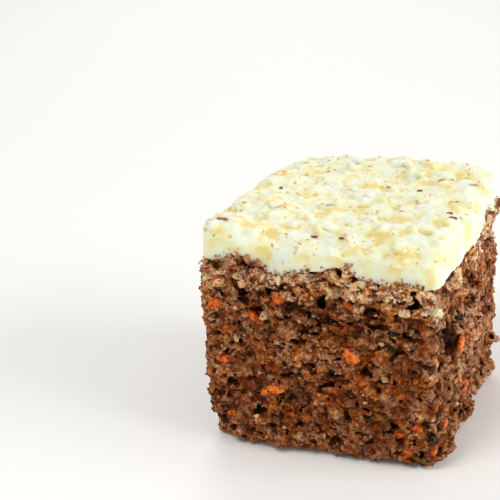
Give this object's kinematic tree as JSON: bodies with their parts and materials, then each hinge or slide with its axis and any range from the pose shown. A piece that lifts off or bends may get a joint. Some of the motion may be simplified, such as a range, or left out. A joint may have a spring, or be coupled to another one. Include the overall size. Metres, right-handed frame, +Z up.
{
  "type": "carrot cake slice",
  "caption": "Square-cut slice of carrot traybake: a craggy, moist crumb block under a layer of cream icing strewn with chopped nuts.",
  "frame": {"origin": "under the middle of the slice's bounding box, on the plane it rests on", "axes": "+Z up through the icing, which is the short way; the front cut faces -Y and the second cut that the picture shows faces +X"},
  "size_m": [0.0668, 0.0682, 0.0625],
  "materials": {
    "carrot_crumb": "moist open brown cake crumb, rough, with orange carrot shreds",
    "cream_icing": "pale cream icing, soft sheen, lumpy with chopped nuts"
  },
  "bodies": {
    "root": {"sponge": "carrot_crumb", "icing": "cream_icing"}
  },
  "joints": []
}
